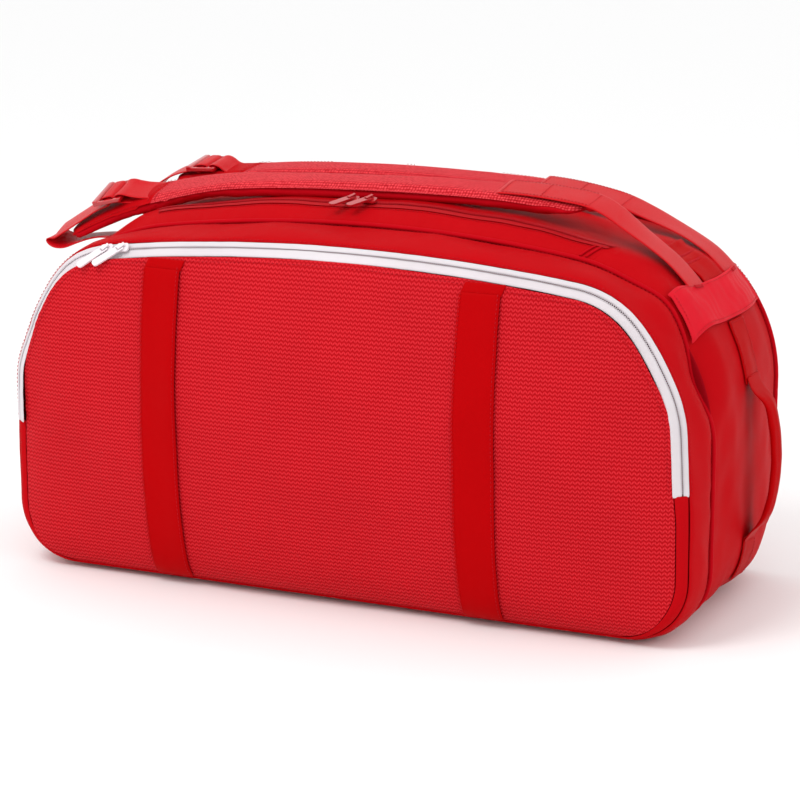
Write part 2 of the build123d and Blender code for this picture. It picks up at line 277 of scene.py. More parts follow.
def bumped(tree, shader, height, distance, strength=1.0):
    bump = node(tree, "ShaderNodeBump", {"Height": height, "Distance": distance, "Strength": strength})
    tree.links.new(bump.outputs[0], shader.inputs["Normal"])


def dyed(tree, shader, where, colour, amount):
    """Dyes a material a little unevenly, and returns the same unevenness for its gloss."""
    dye = use(tree, handled, Vector=where, Colour=colour, Amount=amount)
    tree.links.new(dye["Colour"], shader.inputs["Base Color"])
    return dye["Gloss"]


def uneven_gloss(tree, shader, base, gloss, spread):
    tree.links.new(math(tree, "ADD", base, math(tree, "MULTIPLY", gloss, spread)), shader.inputs["Roughness"])


def woven(name, roughness, specular, colour, pitch, amount, relief, strength):
    """Cloth or webbing of crossing threads, on its own UV map in metres."""
    made, tree, shader = material(name, roughness, specular=specular)
    here = node(tree, "ShaderNodeUVMap", uv_map="cloth").outputs[0]
    threads = use(tree, weave, Vector=here, Pitch=pitch)
    gloss = dyed(tree, shader, here, (*colour, 1), amount)
    bumped(tree, shader, threads["Height"], relief, strength)
    return made, tree, shader, gloss


def coated_cloth(name, colour, roughness=0.42, pitch=0.0011):
    made, tree, shader, gloss = woven(name, roughness, 0.008, colour, pitch, 0.22, 0.00010, 0.35)
    uneven_gloss(tree, shader, roughness - 0.08, gloss, 0.16)
    return made


satin = coated_cloth("coated_red_cloth", RED)
lining = coated_cloth("lining_cloth", (0.30, 0.0030, 0.0080), 0.6, 0.0007)

ROUND = 2 * sum(RUNS)                             # the whole way round the outline
front_band = cloth("gusset_front", 330, 16, lambda u, v: gusset_front((u - 0.5) * ROUND, 0.02 + 0.98 * v)[0],
                   (1.965, 0.057), satin)
for face in front_band.data.polygons:
    face.flip()
lined(front_band, 0.0016)
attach(front_band, "bag")
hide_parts("front_gusset")

# ---- Front panel -----------------------------------------------------------------------------------
# Knit mesh over thin foam. It is sewn into the inner tape of the white zip above and straight to the
# gusset below the zip's ends.
FOLD_Z = 0.150                                    # height of the line that the panel folds about
WEB_X = (-0.180, 0.158)                           # middle lines of the two webbings
TAPE_IN = -0.1474                                 # depth of the panel's edge, where the inner tape is sewn


def front_y(x, z):
    u = min(abs(x) / 0.366, 1)
    v = min(abs(z - 0.1815) / 0.1765, 1)
    roll = (1 - u ** 16) * (1 - v ** 16)
    pillow = (1 - u ** 2) * (1 - v ** 2)
    y = -0.136 - 0.015 * roll - 0.030 * pillow
    free = min(roll, 1)
    fold = rumple((x, z, 0), 0.085, 0.0034, 5) + rumple((x * 1.3, z, 0), 0.034, 0.0011, 8)
    near = sum(exp(-((x - c) / 0.030) ** 2) for c in WEB_X)
    return y + free * (fold * (0.55 + 0.45 * abs(2 * v - 1)) + 0.0016 * near)


def panel_edge(t):
    upper, _ = tape_line(t, TAPE_IN)
    lower = wrap(t, 0.3540, 0.3440, 0.1210, 1.986, 0.0066, 0.062)[0] + drawn_in(t)
    k = soft(upper.z, FOLD_Z - 0.030, FOLD_Z + 0.003)
    return lower.lerp(upper, k)


def flank(t, v):
    """The cloth between the gusset and the knit below the zip's ends, v = 0 at the gusset."""
    outer, n = tape_line(t, GUSSET_EDGE)
    inner = panel_edge(t)
    inner.y = front_y(inner.x, inner.z) + 0.0006
    p = outer.lerp(inner, v) + (n * 6 + Vector((0, -7, 0))).normalized() * 0.0016 * sin(pi * v)
    return p


def panel_patch(u, v, edge):
    """Point inside a closed outline, by blending its four sides."""
    top, low = RUNS[0] + RUNS[1] / 2, sum(RUNS[:3]) + RUNS[3] / 2
    whole = sum(RUNS)
    a = 2 * u - 1
    over = edge(a * top)
    under = edge((1 if a >= 0 else -1) * (whole - (whole - low) * abs(a)))
    right = edge(top + (low - top) * (1 - v))
    left = edge(-(top + (low - top) * (1 - v)))
    corners = (edge(-low) * (1 - u) + edge(low) * u) * (1 - v) + (edge(-top) * (1 - u) + edge(top) * u) * v
    return over * v + under * (1 - v) + left * (1 - u) + right * u - corners


def panel_place(u, v):
    p = panel_patch(u, v, panel_edge)
    p.y = front_y(p.x, p.z)
    rim = min(u, 1 - u, v, 1 - v)
    p.y += pucker(p.x + p.z, rim * 0.5, pitch=0.014, depth=0.0010, reach=0.014, seed=4)
    return p


def knit_mesh():
    """Chevron knit: zigzag threads, with the low gaps between the rows darkened as painted shade."""
    made, tree, shader = material("knit_mesh", 0.62, specular=0.06)
    here = node(tree, "ShaderNodeUVMap", uv_map="cloth").outputs[0]
    drift = node(tree, "ShaderNodeTexNoise", {"Vector": here, "Scale": 60.0, "Detail": 2.0}).outputs["Color"]
    drift = node(tree, "ShaderNodeVectorMath", {0: drift, 1: (0.0012, 0.0012, 0)}, operation="MULTIPLY")
    moved = node(tree, "ShaderNodeVectorMath", {0: here, 1: drift.outputs[0]}, operation="ADD")
    part = node(tree, "ShaderNodeSeparateXYZ", {0: moved.outputs[0]}).outputs
    zig = math(tree, "PINGPONG", part[0], 0.00236)
    row = math(tree, "ADD", part[1], math(tree, "MULTIPLY", zig, 0.95))
    wave = math(tree, "SINE", math(tree, "MULTIPLY", row, 2 * pi / 0.0041))
    leg = math(tree, "ABSOLUTE", math(tree, "SINE", math(tree, "MULTIPLY", part[0], pi / 0.00236)))
    tall = math(tree, "ADD", math(tree, "MULTIPLY", leg, 0.32), 0.24)
    raised = math(tree, "MULTIPLY", math(tree, "ADD", wave, 1.0), tall)
    # The knit takes a darker colour where it lies low between the rows: painted shade in the gaps.
    gap_shade_mask = node(tree, "ShaderNodeMapRange", {0: raised, 1: 0.10, 2: 0.95, 3: 0.0, 4: 1.0}, clamp=True)
    gap_shade_colour, knit_colour = (0.40, 0.0008, 0.0045, 1), (0.66, 0.020, 0.030, 1)
    thread = node(tree, "ShaderNodeMix", {0: gap_shade_mask.outputs[0], 6: gap_shade_colour, 7: knit_colour}, data_type="RGBA")
    dyed(tree, shader, here, thread.outputs[2], 0.25)
    bumped(tree, shader, raised, 0.0006, 0.8)
    return made


mesh_cloth = knit_mesh()
front_panel = cloth("panel_front", 144, 76, panel_place, (1, 1), mesh_cloth)
for loop in front_panel.data.loops:
    at = front_panel.data.vertices[loop.vertex_index].co
    front_panel.data.uv_layers["cloth"].data[loop.index].uv = (at.x + 0.4, at.z)
lined(front_panel, 0.0024)
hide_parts("front_panel_upper", "front_panel_lower")
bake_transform(front_panel)

for side, s in (("right", 1), ("left", -1)):
    strip = cloth(f"flank_{side}", 90, 8, lambda u, v: flank(
        s * (END_OF_ZIP - 0.0015 + (0.700 - END_OF_ZIP) * u), v), (0.19, 0.016), satin)
    if s < 0:
        for face in strip.data.polygons:
            face.flip()
    thicken(strip, 0.0010)
    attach(strip, "bag")
under = cloth("flank_base", 120, 8, lambda u, v: flank(
    (1 if u >= 0.5 else -1) * (0.9825 - 0.2850 * abs(2 * u - 1)), v), (0.6, 0.016), satin)
thicken(under, 0.0010)
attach(under, "bag")

# ---- White zip -------------------------------------------------------------------------------------
# Two satin tapes with a coil between them. The outer tape is sewn to the gusset, the inner to the panel.
GAP_Y = -0.1419
white = woven("white_tape", 0.55, 0.2, (0.66, 0.61, 0.635), 0.0009, 0.12, 0.00008, 0.6)[0]


def tape(name, y0, y1, body, node_name, lift=0.0006):
    def place(u, v):
        t = (u - 0.5) * 2 * END_OF_ZIP
        y = y0 + (y1 - y0) * v
        p, n = tape_line(t, y)
        wave = rumple((t, y, 0), 0.05, 0.0016, 6) + pucker(t, 0.0, pitch=0.02, depth=0.0003, seed=7)
        out = (n * 6 + Vector((0, -7, 0))).normalized()
        return p + out * (lift + wave * 0.7)
    made = cloth(name, 260, 4, place, (2 * END_OF_ZIP, 0.012), white)
    thicken(made, 0.0011)
    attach(made, body)
    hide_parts(node_name)


tape("zip_tape_outer", GUSSET_EDGE + 0.0006, GAP_Y + 0.0003, "bag", "front_zip_outer_tape")
tape("zip_tape_inner", GAP_Y - 0.0003, TAPE_IN - 0.0012, "flap", "front_zip_inner_tape")

# ---- Front webbings --------------------------------------------------------------------------------
# Two smooth webbings sewn flat down the front panel. Each is tucked under a short folded end by the zip.
WEB_W = 0.042
dark_web = woven("front_webbing", 0.45, 0.02, (0.42, 0.0004, 0.0016), 0.0013, 0.16, 0.00010, 0.5)[0]

for side, x0 in zip(("left", "right"), WEB_X):
    top = panel_edge((1 if x0 > 0 else -1) * abs(x0) * 1.012).z

    def strip(u, v, low=0.0085, high=top - 0.0085, rise=0.0022, shift=0.0):
        x = x0 + (u - 0.5) * WEB_W + shift * v
        z = low + (high - low) * v
        y = front_y(x, z) - rise - 0.0012 * (1 - abs(2 * u - 1) ** 6)
        y += rumple((x, z, 1), 0.05, 0.0008, 12)
        return Vector((x, y, z))
    band = cloth(f"front_webbing_{side}", 12, 90, strip, (WEB_W, 0.324), dark_web)
    thicken(band, 0.0018)
    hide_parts(f"front_webbing_{side}_upper", f"front_webbing_{side}_lower")
    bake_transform(band)
    tuck = cloth(f"front_webbing_{side}_tuck", 12, 6,
                 lambda u, v: strip(u, v, top - 0.0110, top + 0.0004, 0.0008, 0.004), (WEB_W, 0.012), dark_web)
    thicken(tuck, 0.0015)
    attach(tuck, "flap")

# ---- Main compartment ------------------------------------------------------------------------------
# One long band of coated cloth forms the two ends and the top behind the main zip. It bellies outwards
# between the ridge seam and the rear seam. The strip in front of the zip is cut apart and folds forward.
REAR_Y = 0.142
ZIP_Y = -0.047
MOUTH = 0.2345                                    # half the length of the main zip
# Cross sections: y, half length, height, corner radius, arch radius, lower corner radius
STATIONS = ((-0.0785, *RIDGE, LOW_BEND), (-0.047, 0.363, 0.3850, 0.160, 1.2, 0.064),
            (0.0, 0.363, 0.3895, 0.152, 1.0, 0.068), (0.080, 0.364, 0.3895, 0.152, 1.0, 0.062),
            (0.142, 0.355, 0.3770, 0.155, 1.2, 0.084))


def section(y):
    """The main compartment's cross section at y, by a smooth curve through its stations."""
    i = min(sum(y > s[0] for s in STATIONS[1:]), 3)
    a, b = STATIONS[i], STATIONS[i + 1]
    before, after = STATIONS[max(i - 1, 0)], STATIONS[min(i + 2, 4)]
    step = b[0] - a[0]
    k = min(max((y - a[0]) / step, 0), 1)
    values = []
    for j in range(1, 6):
        start = (b[j] - before[j]) / (b[0] - before[0]) * step
        stop = (after[j] - a[j]) / (after[0] - a[0]) * step
        values.append((2 * k ** 3 - 3 * k * k + 1) * a[j] + (k ** 3 - 2 * k * k + k) * start
                      + (3 * k * k - 2 * k ** 3) * b[j] + (k ** 3 - k * k) * stop)
    return values


def main_surface(t, y, out=0.0):
    """Point and outward direction on the main compartment's cloth."""
    wide, top, bend, arch, low = section(y)
    p, n = wrap(t, wide, top, bend, arch, 0.0012, low - 0.0012)
    away = min(y - RIDGE_Y, REAR_Y - y)
    loose = soft(away, 0.0, 0.03) * soft(0.68 - abs(t), 0, 0.03)
    out += loose * (rumple((t, y, 0), 0.085, 0.0036, 21) + rumple((t, y * 0.7, 0), 0.028, 0.0012, 23))
    out += loose * rumple((t * 0.5, y, 0), 0.022, 0.0014, 25) * soft(abs(t), 0.36, 0.44)
    out += ridge_give(t) * (1 - soft(y, RIDGE_Y, RIDGE_Y + 0.045))
    out += 0.0040 * exp(-((t + 0.262) / 0.055) ** 2) * soft(away, 0, 0.050)
    out -= 0.0055 * exp(-((y - 0.096) / 0.040) ** 2) * soft(t, -0.10, 0.0) * (1 - soft(t, 0.22, 0.30))
    if abs(t) < 0.68:
        out += pucker(t, away, seed=11) - 0.0020 * exp(-away / 0.005)
    p = p + n * out
    p.y = y
    return p, n


def main_place(u, v):
    t = (u - 0.5) * ROUND
    front_rows = 6 / 44
    if v < front_rows:
        y = RIDGE_Y + (ZIP_Y + 0.0006 - RIDGE_Y) * v / front_rows
    else:
        y = ZIP_Y + 0.0006 + (REAR_Y - ZIP_Y - 0.0006) * (v - front_rows) / (1 - front_rows)
    return main_surface(t, y)[0]


main_band = cloth("gusset_main", 260, 44, main_place, (1.965, 0.222), satin)
bm = bmesh.new()
bm.from_mesh(main_band.data)
hole = [f for f in bm.faces if abs(f.calc_center_median().x) < MOUTH and f.calc_center_median().y < ZIP_Y
        and f.calc_center_median().z > 0.2]
bmesh.ops.delete(bm, geom=hole, context="FACES")
bm.to_mesh(main_band.data)
bm.free()
lined(main_band, 0.0014)
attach(main_band, "bag")
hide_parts("left_end_panel", "right_end_panel", "top_panel")


def lip_place(u, v):
    return main_surface((u - 0.5) * 0.473, RIDGE_Y + 0.0012 + (ZIP_Y - 0.0018 - RIDGE_Y) * v)[0]


lip = cloth("mouth_lip_cloth", 150, 8, lip_place, (0.473, 0.031), satin)
lined(lip, 0.0014)
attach(lip, "lip")
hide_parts("mouth_lip")

divider = cloth("divider_cloth", 60, 30, lambda u, v: panel_patch(u, v, lambda t: wrap(
    t, 0.3610, 0.3675, 0.164, 1.5, 0.0016, 0.062)[0]), (0.72, 0.36), lining)
for vert in divider.data.vertices:
    vert.co.y = RIDGE_Y + 0.0002 + rumple(vert.co, 0.10, 0.0008, 41)
thicken(divider, 0.0014, 0)
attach(divider, "bag")
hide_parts("compartment_divider")

# ---- Base ------------------------------------------------------------------------------------------
# A flat panel of heavier cloth under the bag, and a plastic stiffener that lies inside on top of it.
BASE = (0.262, -0.0765, 0.1365)                   # half length, front edge, rear edge
heavy = coated_cloth("base_cloth", (0.34, 0.0030, 0.0080), 0.55, 0.0016)


def base_place(u, v):
    p = Vector(((2 * u - 1) * BASE[0], BASE[1] + (BASE[2] - BASE[1]) * v, 0.0014))
    corner_cut = 0.030
    over = Vector((max(abs(p.x) - BASE[0] + corner_cut, 0), max(abs(p.y - 0.030) - 0.1065 + corner_cut, 0), 0))
    if over.x and over.y and over.length > corner_cut:
        over *= (over.length - corner_cut) / over.length
        p -= Vector((over.x if p.x > 0 else -over.x, over.y if p.y > 0.030 else -over.y, 0))
    p.z -= 0.0006 * soft(min(u * 20, (1 - u) * 20, v * 9, (1 - v) * 9))
    return p


base = cloth("base_panel", 64, 28, base_place, (0.524, 0.213), heavy)
thicken(base, 0.0012, 0)
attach(base, "bag")
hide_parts("bottom_panel")

stiffener, tree, shader = material("stiffener_sheet", 0.55)
where = node(tree, "ShaderNodeTexCoord").outputs["Object"]
dyed(tree, shader, where, (0.020, 0.020, 0.023, 1), 0.3)
grain = node(tree, "ShaderNodeTexNoise", {"Vector": where, "Scale": 700.0}).outputs[0]
bumped(tree, shader, grain, 0.0002, 0.4)
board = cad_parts["base_board"]
board.data.materials.clear()
board.data.materials.append(stiffener)

# ---- Rear panel ------------------------------------------------------------------------------------
# A plain padded panel of the same coated cloth, sewn in all round.


def rear_edge(t):
    return wrap(t, 0.3545, 0.3765, 0.1545, 1.1995, 0.0010, 0.083)[0]


def rear_place(u, v):
    p = panel_patch(u, v, rear_edge)
    bulge = (1 - (p.x / 0.355) ** 2) * (1 - ((p.z - 0.1885) / 0.1885) ** 2)
    rim = min(u, 1 - u, v, 1 - v)
    free = soft(rim, 0, 0.06)
    p.y = REAR_Y + 0.012 * max(bulge, 0) + free * rumple((p.x, p.z, 0), 0.09, 0.005, 31)
    p.y += free * rumple((p.x, p.z * 0.4, 0), 0.030, 0.0016, 35)
    p.y += pucker(p.x + p.z, rim * 0.5, seed=33, depth=0.0009)
    return p


rear = cloth("panel_rear", 110, 60, lambda u, v: rear_place(1 - u, v), (0.71, 0.376), satin)
lined(rear, 0.0024)
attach(rear, "bag")
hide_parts("rear_panel")

# ---- Welts -----------------------------------------------------------------------------------------
# A piped welt is sewn into the ridge seam and another into the rear seam. Both run down both ends and
# disappear into the base seam.
welt_cloth = coated_cloth("welt_cloth", (0.46, 0.0025, 0.0080), 0.36, 0.0008)
WELT_END = 0.70


def welt(name, y, wide, top, bend, arch, low, node_name):
    def place(u, v):
        t = (u - 0.5) * 2 * WELT_END
        sink = 0.0042 * soft(abs(t), 0.600, 0.665)
        p, n = wrap(t, wide, top, bend, arch, 0.0, low)
        side = Vector((0, 1, 0))
        radius = 0.0026 + pucker(t, 0, pitch=0.011, depth=0.00022, seed=y * 90)
        middle = p + n * (0.0006 - sink + (ridge_give(t) if y < 0 else 0))
        middle.y = y
        turn = 2 * pi * v
        return middle + n * radius * cos(turn) + side * radius * 1.15 * sin(turn)
    made = cloth(name, 340, 8, place, (2.8 * WELT_END, 0.013), welt_cloth, closed=True)
    round_off(made, 1)
    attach(made, "bag")
    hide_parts(node_name)


welt("ridge_welt", RIDGE_Y + 0.0003, *RIDGE, LOW_BEND, "ridge_piping")
welt("rear_welt", REAR_Y - 0.0006, 0.3552, 0.3773, 0.155, 1.2, 0.084, "rear_piping")

# ---- Stitching -------------------------------------------------------------------------------------
# Lock stitches in thread of the cloth's own red, as small sunk grains along every sewn edge.
thread_red, tree, shader = material("red_thread", 0.5, specular=0.12)
where = node(tree, "ShaderNodeTexCoord").outputs["Object"]
dyed(tree, shader, where, (0.44, 0.0040, 0.0110, 1), 0.5)
twist = node(tree, "ShaderNodeTexWave", {"Vector": where, "Scale": 900.0}, wave_type="BANDS").outputs[1]
bumped(tree, shader, twist, 0.0001, 0.5)


def stitched(name, seams, body, pitch=0.0042, grain=(0.0029, 0.0008, 0.0006), thread=thread_red,
             fold=None, across=False):
    """Stitches along each seam; a seam is a function of 0..1 that gives a point and the way out."""
    bm = bmesh.new()
    batch = bmesh.new()
    passed = bpy.data.meshes.new(name + "_batch")

    def hand_over():
        batch.to_mesh(passed)
        bm.from_mesh(passed)
        batch.clear()
    for seam in seams:
        points = [seam(i / 200) for i in range(201)]
        runs = [0.0]
        for (a, _), (b, _) in zip(points, points[1:]):
            runs.append(runs[-1] + (b - a).length)
        for j in range(int(runs[-1] / pitch)):
            i = min(bisect_right(runs, (j + 0.5) * pitch), 200) - 1
            k = ((j + 0.5) * pitch - runs[i]) / max(runs[i + 1] - runs[i], 1e-9)
            along = (points[i + 1][0] - points[i][0]).normalized()
            out = points[i][1].lerp(points[i + 1][1], k).normalized()
            aside = out.cross(along).normalized()
            if across:
                along, aside = aside, along
            turn = Matrix((along, aside, along.cross(aside))).transposed().to_4x4()
            spot = points[i][0].lerp(points[i + 1][0], k)
            bmesh.ops.create_uvsphere(batch, u_segments=6, v_segments=4, radius=0.5,
                                      matrix=Matrix.Translation(spot) @ turn @ Matrix.Diagonal((*grain, 1)))
            if j % 24 == 23:
                hand_over()
        hand_over()
    batch.free()
    bpy.data.meshes.remove(passed)
    made = show(name, bm, thread)
    if fold:
        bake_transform(made)
    else:
        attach(made, body)


def gusset_seam(v, low, high, lift=0.0004):
    def seam(s):
        p, n = gusset_front(low + (high - low) * s, v)
        return p + n * lift, n
    return seam


def panel_seam(inset, low, high):
    """A seam on the front panel, `inset` inside its edge, from run low to run high."""
    def seam(s):
        t = low + (high - low) * s
        p, n = tape_line(t, TAPE_IN)
        p = p - n * inset
        p.y = front_y(p.x, p.z) - 0.0006
        return p, Vector((n.x * 0.3, -1, n.z * 0.3)).normalized()
    return seam


stitched("stitch_gusset", [gusset_seam(0.945, -END_OF_ZIP, END_OF_ZIP), gusset_seam(0.055, -0.62, 0.62)], "bag")
stitched("stitch_panel", [panel_seam(0.0048, -END_OF_ZIP + 0.004, END_OF_ZIP - 0.004)], "flap")

# White teeth of the coil, half on each tape, and a row of stitches in each tape's edge.
white_thread, tree, shader = material("white_coil", 0.35, specular=0.5)
where = node(tree, "ShaderNodeTexCoord").outputs["Object"]
dyed(tree, shader, where, (0.60, 0.53, 0.56, 1), 0.3)


def tape_seam(y, lift=0.0014):
    def seam(s):
        p, n = tape_line((2 * s - 1) * (END_OF_ZIP - 0.003), y)
        out = (n * 6 + Vector((0, -7, 0))).normalized()
        return p + out * lift, out
    return seam


for half, y, body in (("outer", GAP_Y + 0.0006, "bag"), ("inner", GAP_Y - 0.0005, "flap")):
    stitched(f"coil_{half}", [tape_seam(y)], body, 0.0021, (0.0021, 0.0011, 0.0011), white_thread,
             across=True)

for side, x0 in zip(("left", "right"), WEB_X):
    edges = []
    for dx in (-WEB_W / 2 + 0.0022, WEB_W / 2 - 0.0022):
        edges.append(lambda s, dx=dx: (Vector((x0 + dx, front_y(x0 + dx, 0.012 + 0.318 * s) - 0.0046,
                                               0.012 + 0.318 * s)), Vector((0, -1, 0))))
    stitched(f"stitch_front_webbing_{side}", edges, None, fold=("bag", "flap"))

# ---- Main zip --------------------------------------------------------------------------------------
# A red coil zip along the top, its front tape sewn to the lip and its rear tape to the top. A short
# double seam crosses the lip near its right end.
red_tape = woven("red_zip_tape", 0.6, 0.12, (0.40, 0.0020, 0.0060), 0.0010, 0.25, 0.0001, 0.6)[0]


def laid(name, t0, t1, y0, y1, cloth_material, body, nodes=(), lift=0.0014, thickness=0.0014, wave=None,
         cells=0.005):
    """A strip of cloth that lies on the main compartment between two runs and two depths."""
    columns = max(int(abs(t1 - t0) / cells), 2)
    rows = max(int(abs(y1 - y0) / cells), 2)

    def place(u, v):
        t, y = t0 + (t1 - t0) * u, y0 + (y1 - y0) * v
        extra = wave(u, v) if wave else 0
        return main_surface(t, y, lift + extra)[0]
    made = cloth(name, columns, rows, place, (abs(t1 - t0), abs(y1 - y0)), cloth_material)
    thicken(made, thickness)
    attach(made, body)
    if nodes:
        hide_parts(*nodes)


for half, y0, y1, body in (("rear", 0.0006, 0.0068, "bag"), ("front", -0.0068, -0.0006, "lip")):
    laid(f"main_zip_{half}_cloth", -MOUTH, MOUTH, ZIP_Y + y0, ZIP_Y + y1, red_tape, body,
         [f"main_zip_{half}_tape"], 0.0010, 0.0008)


def top_seam(y, low, high, lift=0.0004):
    """A seam along the compartment at depth y, from run low to run high."""
    return lambda s: main_surface(low + (high - low) * s, y, lift)


def cross_seam(t, low, high, lift):
    """A seam across the compartment at run t, between two depths."""
    return lambda s: main_surface(t, low + (high - low) * s, lift)


for half, y, body in (("rear", ZIP_Y + 0.0010, "bag"), ("front", ZIP_Y - 0.0010, "lip")):
    stitched(f"main_coil_{half}", [top_seam(y, -MOUTH, MOUTH, 0.0018)], body, 0.0021,
             (0.0019, 0.0011, 0.0010), across=True)
stitched("stitch_lip", [top_seam(y, -MOUTH, MOUTH) for y in (ZIP_Y - 0.0084, RIDGE_Y + 0.0042)], "lip")
stitched("stitch_top", [top_seam(ZIP_Y + 0.0088, -MOUTH - 0.006, MOUTH + 0.006),
                        top_seam(REAR_Y - 0.0050, -0.62, 0.62), top_seam(RIDGE_Y + 0.0042, MOUTH + 0.01, 0.62),
                        top_seam(RIDGE_Y + 0.0042, -0.62, -MOUTH - 0.01)], "bag")
for i, t in enumerate((0.2215, 0.2275)):
    laid(f"cross_seam_{i}", t, t + 0.0026, RIDGE_Y + 0.006, ZIP_Y - 0.0075, welt_cloth, "lip",
         ["mouth_cross_seam_tab"] if i == 0 else [], 0.0012, 0.0016, cells=0.0012)

# ---- End patches, tabs and webbings ------------------------------------------------------------------
# A doubled patch is sewn across each round shoulder, with the straps' ends under it. Below it a short
# webbing comes down to the grab handle, and another holds the handle's foot. All have bar tacks.
PATCH_T = (0.3141, 0.3640)                        # runs along the outline where the patch starts and stops
TAB_T = (0.2520, 0.3150)
END_Y = 0.032                                     # depth of the middle line of the handle and its webbings
# The patch cloth is lighter and pinker than the bag's red: partly its own colour and partly painted sheen.
patch_cloth_with_sheen = coated_cloth("patch_cloth_with_sheen", (0.62, 0.0130, 0.0250), 0.36, 0.0013)


def patch_wave(u, v):
    hem = 0.0009 * (exp(-((min(u, 1 - u) - 0.09) / 0.04) ** 2) + exp(-((min(v, 1 - v) - 0.02) / 0.01) ** 2))
    ripple = 0.00016 * sin(v * 0.21 / 0.0145 * 2 * pi + 5 * noise.noise(Vector((u * 2, v * 6, 0))))
    return ripple * sin(pi * u) ** 0.6 + hem + 0.0016 * noise.noise(Vector((u * 2, v * 8, 4)))


def tab_wave(u, v):
    fold = 0.0030 * exp(-(u / 0.10) ** 2)
    return fold + 0.0008 * noise.noise(Vector((u * 3, v * 3, 7))) - 0.0008 * exp(-((u - 0.32) / 0.03) ** 2) \
        - 0.0008 * exp(-((u - 0.52) / 0.03) ** 2)


for side, s in (("right", 1), ("left", -1)):
    laid(f"{side}_shoulder_patch", s * PATCH_T[0], s * PATCH_T[1], -0.0735, 0.1345, patch_cloth_with_sheen, "bag",
         [f"{side}_end_patch"], 0.0034, 0.0016, patch_wave, 0.0022)
    laid(f"{side}_centre_tab", s * TAB_T[0], s * TAB_T[1], END_Y - 0.0195, END_Y + 0.0295, dark_web, "bag",
         [f"{side}_end_tab"], 0.0018, 0.0018, tab_wave, 0.003)
    hem = [top_seam(y, s * (PATCH_T[0] + 0.0035), s * (PATCH_T[1] - 0.0035), 0.0054) for y in (-0.0705, 0.1315)]
    hem += [cross_seam(s * t, -0.0705, 0.1315, 0.0054) for t in (PATCH_T[0] + 0.0035, PATCH_T[1] - 0.0035)]
    stitched(f"{side}_patch_stitches", hem, "bag", 0.0036, (0.0026, 0.0008, 0.0007))
    tacks = [cross_seam(s * (PATCH_T[0] + 0.0042), y - 0.0085, y + 0.0085, 0.0056) for y in (-0.012, 0.092)]
    stitched(f"{side}_patch_tacks", tacks, "bag", 0.0010, (0.0044, 0.0009, 0.0012), across=True)
    bars = [cross_seam(s * (TAB_T[0] + f * (TAB_T[1] - TAB_T[0])), END_Y - 0.0170, END_Y + 0.0270, 0.0024)
            for f in (0.32, 0.52)]
    stitched(f"{side}_tab_tacks", bars, "bag", 0.0011, (0.0030, 0.0009, 0.0011), across=True)
    for place_name, t0, t1 in (("upper", 0.3650, 0.4420), ("lower", 0.5815, 0.6260)):
        laid(f"{side}_handle_{place_name}_webbing", s * t0, s * t1, END_Y - 0.019, END_Y + 0.019, dark_web,
             "bag", [f"{side}_end_webbing_{place_name}"], 0.0016, 0.0020,
             lambda u, v: 0.0006 * noise.noise(Vector((u * 2, v * 3, s))))
        ends = (s * (t0 + 0.004), s * (t1 - 0.004))
        sides = (END_Y - 0.016, END_Y + 0.016)
        sewn = [cross_seam(t, *sides, 0.0028) for t in ends] + [top_seam(y, *ends, 0.0028) for y in sides]
        stitched(f"{side}_handle_{place_name}_stitches", sewn, "bag", 0.0032,
                 (0.0024, 0.0008, 0.0007))

# ---- Grab handles ------------------------------------------------------------------------------------
# A webbing bow at each end. It is flat where it is sewn down and folded double round a filler cord
# between, which makes the grip narrower and rounder. It is built as an upper and a lower half.
HANDLE = ((0.3640, 0.2320), (0.3700, 0.2190), (0.3820, 0.2040), (0.3885, 0.1780), (0.3905, 0.1460),
          (0.3885, 0.1160), (0.3825, 0.0920), (0.3700, 0.0740), (0.3640, 0.0620))


def trail(points):
    """A smooth side-view path through (x, z) points: gives a point and its normal at s, and its length."""
    ends = [Vector(p) for p in points]
    ends = [2 * ends[0] - ends[1]] + ends + [2 * ends[-1] - ends[-2]]
    line = []
    for a, b, c, d in zip(ends, ends[1:], ends[2:], ends[3:]):
        for i in range(24):
            k = i / 24
            square, cube = 2 * a - 5 * b + 4 * c - d, 3 * b - a - 3 * c + d
            line.append((b * 2 + (c - a) * k + square * k * k + cube * k ** 3) / 2)
    line.append(ends[-2])
    runs = [0.0]
    for a, b in zip(line, line[1:]):
        runs.append(runs[-1] + (b - a).length)

    def at(s):
        far = min(max(s, 0), 1) * runs[-1]
        i = min(bisect_right(runs, far), len(runs) - 1) - 1
        k = (far - runs[i]) / (runs[i + 1] - runs[i])
        p = line[i].lerp(line[i + 1], k)
        t = (line[min(i + 2, len(line) - 1)] - line[max(i - 1, 0)]).normalized()
        return Vector((p.x, 0, p.y)), Vector((-t.y, 0, t.x))
    return at, runs[-1]


handle_at, handle_length = trail(HANDLE)


def handle_place(s_u, turn, mirror):
    p, n = handle_at(s_u)
    grip = soft(s_u, 0.06, 0.24) * soft(1 - s_u, 0.06, 0.24)
    half_wide = 0.0185 - 0.0070 * grip
    half_thick = 0.0011 + 0.0026 * grip
    c, s = cos(turn), sin(turn)
    across = half_wide * (1 if c > 0 else -1) * abs(c) ** 0.75
    deep = half_thick * (1 if s > 0 else -1) * abs(s) ** 0.75
    crease = -0.0014 * grip * exp(-(across / 0.0022) ** 2) if s < 0 else 0
    wave = 0.0007 * noise.noise(Vector((s_u * 9, c, s * 0.4)))
    spot = p - n * (deep + crease + wave)
    spot.y = END_Y + across + 0.0016 * sin(pi * s_u) * noise.noise(Vector((s_u * 3, 5, 1)))
    return Vector((spot.x * mirror, spot.y, spot.z))


